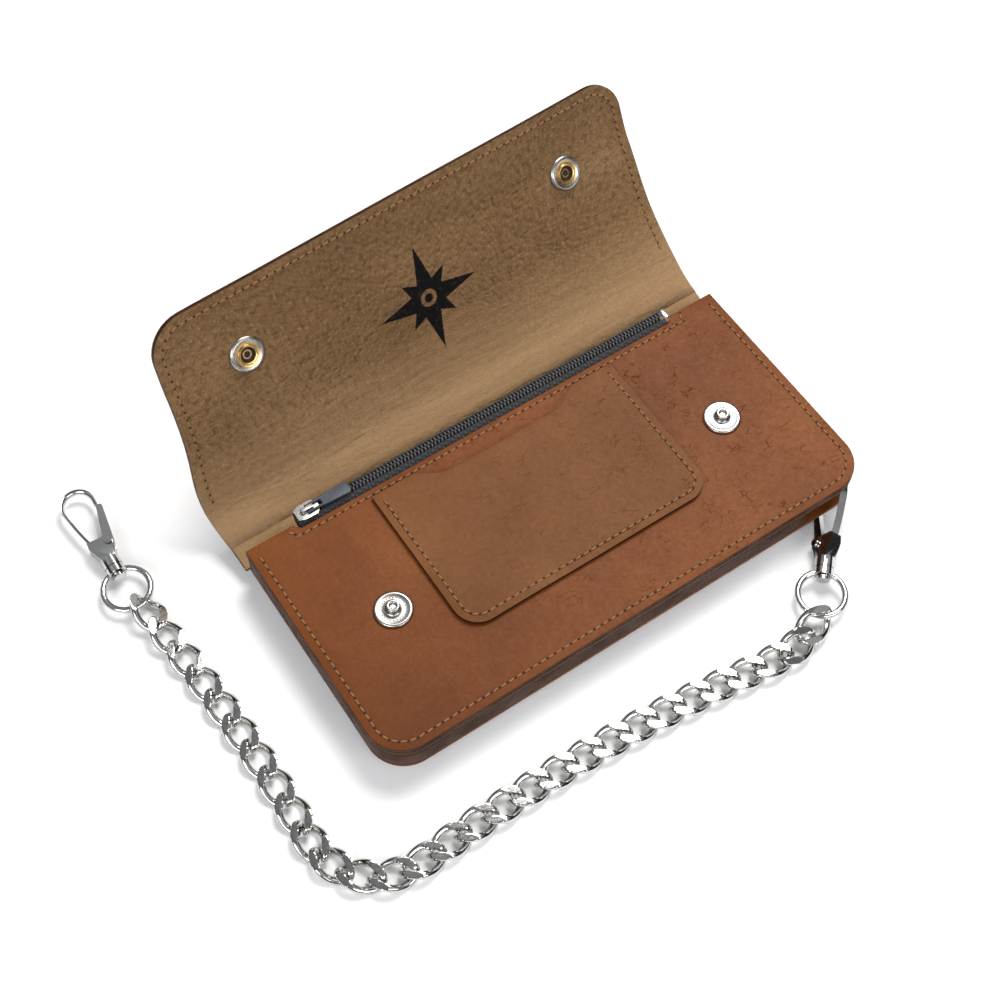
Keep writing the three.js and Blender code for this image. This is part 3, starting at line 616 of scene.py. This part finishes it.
def profile_table():
    """The sheet's middle line in the Y-Z plane, in even steps from the spine fold."""
    along = Vector((math.cos(SPINE_TURN), math.sin(SPINE_TURN)))
    at = HINGE.yz + along * (-SPINE_LENGTH)
    table = []
    v = -SPINE_LENGTH
    while v < FLAP_LENGTH + PROFILE_MARGIN:
        table.append((at.x, at.y))
        share = smooth_step((v + PROFILE_STEP / 2 + BEND) / (2 * BEND))
        turn = SPINE_TURN + (FLAP_TURN - SPINE_TURN) * share
        at = at + Vector((math.cos(turn), math.sin(turn))) * PROFILE_STEP
        v += PROFILE_STEP
    return table


PROFILE = profile_table()


def sheet_point(x, v):
    """A point of the sheet's middle surface, x across and v up from the flap's fold."""
    place = (v + SPINE_LENGTH) / PROFILE_STEP
    i = min(max(int(place), 0), len(PROFILE) - 2)
    t = place - i
    a, b = PROFILE[i], PROFILE[i + 1]
    y, z = a[0] + (b[0] - a[0]) * t, a[1] + (b[1] - a[1]) * t
    side = -x / HALF_WIDTH
    off = spline(BASE, MIDDLE, v) + spline(BASE, TWIST, v) * side
    off += 0.0006 * noise.noise(Vector((x * 30, v * 30, 0))) * smooth_step(v / 0.03)
    flare = 0.0025 * max(0.0, side) ** 3 * math.exp(-((v - 0.012) / 0.016) ** 2)
    return Vector((x - flare, y - math.sin(FLAP_TURN) * off, z + math.cos(FLAP_TURN) * off))


def sheet_axes(x, v):
    step = 0.0004
    across = (sheet_point(x + step, v) - sheet_point(x - step, v)).normalized()
    along = (sheet_point(x, v + step) - sheet_point(x, v - step)).normalized()
    inner = across.cross(along).normalized()
    return across, along, inner


def on_sheet(x, v, h):
    return sheet_point(x, v) + sheet_axes(x, v)[2] * h


def sheet_matrix(x, v, h):
    across, along, inner = sheet_axes(x, v)
    along = inner.cross(across).normalized()
    place = on_sheet(x, v, h)
    return Matrix((
        (across.x, along.x, inner.x, place.x),
        (across.y, along.y, inner.y, place.y),
        (across.z, along.z, inner.z, place.z),
        (0, 0, 0, 1),
    ))


def sheet_share(x, v):
    """How much of the flap's turn a point takes, so that the bent sheet ends flat, just short
    of shut, and clear of the studs."""
    at = sheet_point(x, max(v, NEAREST))
    polar = math.atan2(at.z - HINGE.z, at.y - HINGE.y)
    share = (FLAT_TURN - polar) / FLAP_TRAVEL
    return min(max(share, 0.0), 1.0) * smooth_step((v + BEND) / (2 * BEND))


def blended(obj, shares):
    """Bakes the piece's transform into its mesh. The shares, each point's own share of the turn,
    are not used.
    """
    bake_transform(obj)
    return obj


def to_sheet(obj):
    """Carries a flat piece onto the sheet: its x and y run across and along, its z rises."""
    flat = [v.co.copy() for v in obj.data.vertices]
    for vertex, co in zip(obj.data.vertices, flat):
        vertex.co = on_sheet(co.x, co.y, co.z)
    obj.data.update()
    return blended(obj, [sheet_share(co.x, co.y) for co in flat])


def flat_uvs(obj):
    layer = obj.data.uv_layers.new(name="sheet")
    for loop in obj.data.loops:
        co = obj.data.vertices[loop.vertex_index].co
        layer.data[loop.index].uv = (co.x, co.y)


def flap_outline(half):
    narrow = half - TAPER
    points = [(-half, SEAM), (half, SEAM), (half, 0.006)]
    points += arc(narrow - CORNER, FLAP_LENGTH - CORNER, CORNER, 0, 90)
    points += arc(-narrow + CORNER, FLAP_LENGTH - CORNER, CORNER, 90, 180)
    points.append((-half, 0.006))
    return points


def sheet_plate(name, outline, cell):
    """A flat sheet, suede on its inner side and leather on its outer side."""
    sheet = plate(name, outline, -HALF, HALF, MATERIALS["suede"], MATERIALS["edge"],
                  cell=cell, ripple=0, seam=SEAM)
    sheet.data.materials.append(MATERIALS["outer"])
    for face in sheet.data.polygons:
        if face.normal.z < -0.8:
            face.material_index = 2
    flat_uvs(sheet)
    return sheet


def make_flap():
    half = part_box("flap")[1].x
    flap = to_sheet(sheet_plate("flap_sheet", flap_outline(half), 0.004))
    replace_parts(flap, "flap")
    inset, low = 0.0032, 0.010
    side = half - inset - 0.0005
    round_x, round_y, radius = half - TAPER - CORNER, FLAP_LENGTH - CORNER, CORNER - inset
    points = [(side, low)]
    points += arc(round_x, round_y, radius, 0, 90)
    points += arc(-round_x, round_y, radius, 90, 180)
    points.append((-side, low))
    parts = Parts()
    for x, y, turn in along_path(points, STITCH):
        for height in (HALF + 0.00005, -HALF - 0.00005):
            place = Matrix.Translation((x, y, height)) @ Matrix.Rotation(turn, 4, "Z")
            stitch(parts, place)
    thread = parts.made("flap_stitches", [MATERIALS["thread"], MATERIALS["hole"]])
    to_sheet(thread)


def make_spine():
    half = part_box("fold_spine")[1].x
    outline = [(-half, -SPINE_LENGTH), (half, -SPINE_LENGTH), (half, SEAM), (-half, SEAM)]
    spine = sheet_plate("spine_sheet", outline, 0.0025)
    for vertex in spine.data.vertices:
        co = vertex.co.copy()
        vertex.co = on_sheet(co.x, co.y, co.z)
    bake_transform(spine)
    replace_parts(spine, "fold_spine")


# ---- Panels ----

def outline_of(node):
    """The outer edge of a CAD panel, seen from above."""
    mesh = frame["nodes"][node].data
    top = max(v.co.z for v in mesh.vertices)
    once = {}
    for face in mesh.polygons:
        if face.normal.z > 0.9 and abs(face.center.z - top) < 1e-5:
            corners = list(face.vertices)
            for a, b in zip(corners, corners[1:] + corners[:1]):
                pa, pb = mesh.vertices[a].co, mesh.vertices[b].co
                key = (round(pa.x, 6), round(pa.y, 6)), (round(pb.x, 6), round(pb.y, 6))
                if (key[1], key[0]) in once:
                    del once[(key[1], key[0])]
                else:
                    once[key] = True
    follow = {a: b for a, b in once}
    loops = []
    while follow:
        start, at = next(iter(follow.items()))
        loop = [start]
        del follow[start]
        while at != start and at in follow:
            loop.append(at)
            at = follow.pop(at)
        loops.append(loop)
    return max(loops, key=lambda loop: max(p[0] for p in loop) - min(p[0] for p in loop))


def make_front():
    low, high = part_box("front_panel")
    front = plate("front_leather", outline_of("front_panel"), low.z, high.z,
                  MATERIALS["saddle"], MATERIALS["edge"])
    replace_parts(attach(front, "wallet"), "front_panel")


def make_pocket():
    low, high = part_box("card_pocket")
    pocket = plate("pocket_leather", outline_of("card_pocket"), low.z, high.z,
                   MATERIALS["pocket"], MATERIALS["edge"], cell=0.004, ripple=0.0002)
    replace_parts(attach(pocket, "wallet"), "card_pocket")


def make_front_stitches():
    """A row along the left, bottom and right edges, and one under the zip with turned-up ends."""
    low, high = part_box("front_panel")
    inset, end = 0.003, high.y - 0.004
    left, right = low.x + inset, high.x - inset
    edge = [(left, end)]
    edge += arc(low.x + CORNER, low.y + CORNER, CORNER - inset, 180, 270)
    edge += arc(high.x - CORNER, low.y + CORNER, CORNER - inset, 270, 360)
    edge.append((right, end))
    under_zip, turned_up = high.y - 0.0047, high.y - 0.0012
    row = [(left + 0.012, turned_up), (left + 0.0145, under_zip)]
    row += [(right - 0.0135, under_zip), (right - 0.011, turned_up)]
    flat_stitches("front_stitches", [edge, row], high.z + 0.0001)


def make_pocket_stitches():
    low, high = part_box("card_pocket")
    inset, radius, end = 0.0028, 0.0062, high.y - 0.003
    left, right, bottom = low.x + inset, high.x - inset, low.y + inset
    seam = [(left, end)]
    seam += arc(left + radius, bottom + radius, radius, 180, 270, 6)
    seam += arc(right - radius, bottom + radius, radius, 270, 360, 6)
    seam.append((right, end))
    flat_stitches("pocket_stitches", [seam], high.z + 0.0001)


def finish_cad(names, material, bevel=0.0003):
    """CAD nodes that are shown: a procedural finish and smooth shading, with rounded edges or,
    where bevel is 0, crisp ones."""
    for name in names:
        node = frame["nodes"][name]
        node.data.materials.clear()
        node.data.materials.append(MATERIALS[material])
        node.data.polygons.foreach_set("use_smooth", [True] * len(node.data.polygons))
        weld = node.modifiers.new("weld", "WELD")
        weld.merge_threshold = 0.000002
        if bevel:
            round_off = node.modifiers.new("round", "BEVEL")
            round_off.width = bevel
            round_off.segments = 3
            round_off.limit_method = "ANGLE"
            round_off.angle_limit = math.radians(35)
            round_off.use_clamp_overlap = True
            round_off.harden_normals = True
        else:
            split = node.modifiers.new("crisp", "EDGE_SPLIT")
            split.split_angle = math.radians(50)


# ---- Zip ----

def make_coil():
    """The zip's coil, two rows of wires that lean into each other, and its bottom stop."""
    low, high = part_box("zipper_teeth_front")
    rear_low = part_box("zipper_teeth_rear")[0]
    middle = (high.y + rear_low.y) / 2
    parts = Parts()
    pitch = 0.00135
    count = int((high.x - low.x) / pitch)
    for i in range(count):
        for side in (-1, 1):
            x = low.x + (i + 0.5 + 0.25 * side) * pitch
            place = Matrix.Translation((x, middle + side * 0.00072, (low.z + high.z) / 2))
            lean = Matrix.Rotation(math.radians(14 * side), 4, "Z")
            parts.ellipsoid(place @ lean, (0.00042, 0.00115, (high.z - low.z) / 2), 0, 8, 6)
    coil = parts.made("zip_coil", [MATERIALS["coil"]])
    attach(coil, "wallet")
    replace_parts(coil, "zipper_teeth_front", "zipper_teeth_rear")
    stop = Parts()
    place = Matrix.Translation((high.x + 0.001, middle, low.z + 0.0005))
    stop.ellipsoid(place, (0.0012, 0.0026, 0.0005), 0, 16, 10)
    made = stop.made("zip_bottom_stop", [MATERIALS["nickel"]])
    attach(made, "wallet")


# ---- Snaps ----

SOCKET_UP = 0.0533


def make_stud(side):
    low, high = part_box(f"snap_stud_{side}")
    centre, tall = (low + high) / 2, high.z - low.z
    radius = (high.x - low.x) / 2
    place = Matrix.Translation((centre.x, centre.y, low.z))
    profile = [(0.0010, 0.0), (radius, 0.0), (radius, 0.0004), (radius - 0.0005, 0.0008),
               (radius - 0.0011, 0.0008), (radius - 0.0015, 0.0006), (0.0030, 0.0006),
               (0.0024, 0.0009), (0.0021, 0.0014), (0.0021, tall - 0.0014),
               (0.0024, tall - 0.0009), (0.0023, tall - 0.0003), (0.0019, tall),
               (0.0013, tall - 0.0001), (0.0010, tall - 0.0004)]
    stud = turned(f"stud_{side}", profile, place, [MATERIALS["nickel"]])
    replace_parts(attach(stud, "wallet"), f"snap_stud_{side}")
    beads, count, ring = Parts(), 24, radius - 0.0024
    for i in range(count):
        turn = 2 * math.pi * i / count
        spot = Matrix.Translation((ring * math.cos(turn), ring * math.sin(turn), 0.0006))
        beads.ellipsoid(place @ spot, (0.00028, 0.00028, 0.00022), 0, 8, 4)
    dots = beads.made(f"stud_dots_{side}", [MATERIALS["nickel"]])
    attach(dots, "wallet")


def on_flap(obj, share):
    """A hard piece on the flap, its transform baked into its mesh. The share, the same for every
    point, is not used.
    """
    return blended(obj, [share] * len(obj.data.vertices))


def make_socket(side):
    """The flap's half of a snap: a ring with a brass well inside, a flat dark disc of painted shade
    in its opening, and a cap on the outer side.
    """
    cap_low, cap_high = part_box(f"snap_cap_{side}")
    x, v = (cap_low.x + cap_high.x) / 2, SOCKET_UP
    share = sheet_share(x, v)
    spot = sheet_matrix(x, v, HALF)
    nickel, brass = MATERIALS["nickel"], MATERIALS["brass"]
    wide = 0.0062
    rim = [(0.0026, 0.0), (wide, 0.0), (wide, 0.0007), (wide - 0.0006, 0.0013),
           (wide - 0.0013, 0.0014), (wide - 0.0018, 0.0011), (0.0034, 0.0011),
           (0.0031, 0.0016), (0.0027, 0.0015)]
    socket = turned(f"socket_{side}", rim, spot, [nickel, brass], [0] * 5 + [1] * 4)
    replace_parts(on_flap(socket, share), f"snap_socket_{side}")
    # painted shade: a flat dark disc fills the socket's opening
    well = [(0.0, 0.0001), (0.0028, 0.0001), (0.0028, 0.0004), (0.0, 0.0004)]
    on_flap(turned(f"socket_well_shade_{side}", well, spot, [MATERIALS["hole"]]), share)
    spring = [(0.0011, 0.0004), (0.0016, 0.0004), (0.0016, 0.0007), (0.0011, 0.0007)]
    on_flap(turned(f"socket_ring_{side}", spring, spot, [brass]), share)
    outer = (cap_high.x - cap_low.x) / 2
    dome = [(0.0, -0.0009), (outer * 0.45, -0.00085), (outer * 0.75, -0.0006),
            (outer * 0.95, -0.0002), (outer, 0.0002), (outer * 0.97, 0.0006), (0.0, 0.0006)]
    cap = turned(f"cap_{side}", dome, sheet_matrix(x, v, -HALF - 0.0004), [nickel])
    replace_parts(on_flap(cap, share), f"snap_cap_{side}")


# ---- Chain ----

LINKS = 29
END_LINKS = 3
END_ROLL = math.radians(26)
LINK_CRISP = 17


def link_mesh(name, place):
    """A curb link: a twisted loop of wire, filed flat above and below."""
    length, width, wire, flat, twist = 0.007, 0.0043, 0.0013, 0.0023, math.radians(52)

    def centre_at(t):
        turn = twist * math.cos(t)
        across = width * math.sin(t)
        return Vector((length * math.cos(t), across * math.cos(turn), across * math.sin(turn)))

    around, sides = 72, 24
    vertices, faces = [], []
    for i in range(around):
        t = 2 * math.pi * i / around
        centre = centre_at(t)
        ahead = (centre_at(t + 0.01) - centre_at(t - 0.01)).normalized()
        out = Vector((math.cos(t), math.sin(t), 0))
        side = (out - ahead * out.dot(ahead)).normalized()
        up = ahead.cross(side)
        for j in range(sides):
            angle = 2 * math.pi * (j + 0.5) / sides
            point = centre + side * (wire * math.cos(angle)) + up * (wire * math.sin(angle))
            point.z = min(max(point.z, -flat), flat)
            vertices.append(place @ point)
            k = (j + 1) % sides
            a, b = i * sides, ((i + 1) % around) * sides
            faces.append((a + j, a + k, b + k, b + j))
    return sharpen(object_from(name, vertices, faces, [MATERIALS["polished"]]), LINK_CRISP)


def tilt(joint):
    """How much a joint leans the links beside it: fully at the rings, none along the chain."""
    return max(0, 1 - (LINKS - joint) / END_LINKS) - max(0, 1 - joint / END_LINKS)


def make_chain():
    names = [f"link_{i:02d}" for i in range(1, LINKS + 1)]
    joints = []
    for joint in frame["joints"]:
        if joint["child"] in names or joint["child"] == "ring_b":
            joints.append(Vector(joint["pos_m"]))
    for i, name in enumerate(names):
        low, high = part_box(f"chain_{name}")
        centre = (low + high) / 2
        start = joints[i] if i else centre
        line = (joints[i + 1] - start).normalized()
        heading = math.atan2(line.y, line.x)
        slope = -math.asin(line.z)
        roll = END_ROLL * (tilt(i) + tilt(i + 1)) / 2
        turn = (Matrix.Rotation(heading, 4, "Z") @ Matrix.Rotation(slope, 4, "Y")
                @ Matrix.Rotation(roll, 4, "X"))
        link = link_mesh(f"curb_{name}", Matrix.Translation(centre) @ turn)
        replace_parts(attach(link, name), f"chain_{name}")


# ---- Everything ----

MATERIALS = {
    "saddle": leather_material("saddle", [
        (0.28, (0.100, 0.026, 0.0045)), (0.5, (0.145, 0.041, 0.008)),
        (0.75, (0.195, 0.061, 0.014))], rough=(0.46, 0.64), creases=0.62),
    "pocket": leather_material("pocket", [
        (0.28, (0.112, 0.038, 0.010)), (0.5, (0.148, 0.054, 0.016)),
        (0.75, (0.195, 0.078, 0.026))], rough=(0.5, 0.66), creases=0.3, pebble=0.3),
    "outer": leather_material("outer", [
        (0.28, (0.095, 0.025, 0.0045)), (0.5, (0.14, 0.040, 0.008)),
        (0.75, (0.19, 0.060, 0.014))], by_uv=True, creases=0.6),
    "lining": leather_material("lining", [
        (0.28, (0.075, 0.036, 0.018)), (0.5, (0.115, 0.058, 0.029)),
        (0.75, (0.16, 0.085, 0.045))], rough=(0.6, 0.8), creases=0.2),
    "edge": edge_material("edge", (0.020, 0.007, 0.003), (0.070, 0.024, 0.009)),
    "welt": edge_material("welt", (0.022, 0.008, 0.004), (0.075, 0.027, 0.010)),
    "suede": suede_material("suede", (0.0013, 0.0378), 0.0195),
    "nickel": metal_material("nickel", (0.40, 0.39, 0.37), 0.24, 0.12),
    "polished": metal_material("polished", (0.58, 0.575, 0.56), 0.1, 0.08),
    "brass": metal_material("brass", (0.62, 0.42, 0.18), 0.25, 0.12, (0.3, 0.18, 0.07)),
    "tape": woven_material("tape", (0.010, 0.010, 0.012), (0.045, 0.045, 0.05)),
    "coil": plain_grained("coil", (0.014, 0.014, 0.016), (0.07, 0.07, 0.075), 0.32, 1200),
    "grip": plain_grained("grip", (0.018, 0.024, 0.036), (0.034, 0.044, 0.062), 0.45, 1500, 0.3),
    "thread": plain_grained("thread", (0.12, 0.048, 0.013), (0.34, 0.155, 0.048), 0.6, 2600, 0.6),
    # painted shade: the near-black of punched holes and of the snap socket's opening
    "hole": plain_grained("hole", (0.012, 0.006, 0.003), (0.03, 0.015, 0.008), 0.8, 1800),
    "floor": plain_grained("floor", (0.86, 0.86, 0.86), (0.90, 0.90, 0.90), 0.8, 30, 0.01),
}


def make_floor():
    reach, z = 3, cad_box[0].z
    vertices = [(x * reach, y * reach, z) for x, y in ((-1, -1), (1, -1), (1, 1), (-1, 1))]
    floor = object_from("floor", vertices, [(0, 1, 2, 3)], [MATERIALS["floor"]], smooth=False)


make_camera()
make_light()
make_front()
make_pocket()
make_front_stitches()
make_pocket_stitches()
make_flap()
make_spine()
make_coil()
for side in ("left", "right"):
    make_stud(side)
    make_socket(side)
make_chain()
finish_cad(["back_panel"], "saddle")
finish_cad(["bill_welt", "coin_welt"], "welt", 0.0002)
finish_cad(["pocket_lining"], "lining", 0.0002)
finish_cad(["zipper_tape_front", "zipper_tape_rear"], "tape", 0.0001)
finish_cad(["zipper_slider"], "nickel", 0.0002)
finish_cad(["zipper_pull"], "grip", 0.0002)
finish_cad(["snap_post_left", "snap_post_right"], "nickel", 0)
finish_cad(["chain_eyelet"], "nickel", 0)
for end in ("a", "b"):
    finish_cad([f"clasp_{end}_{part}" for part in ("hook", "gate", "rivet", "ring")],
               "polished", 0)
make_floor()
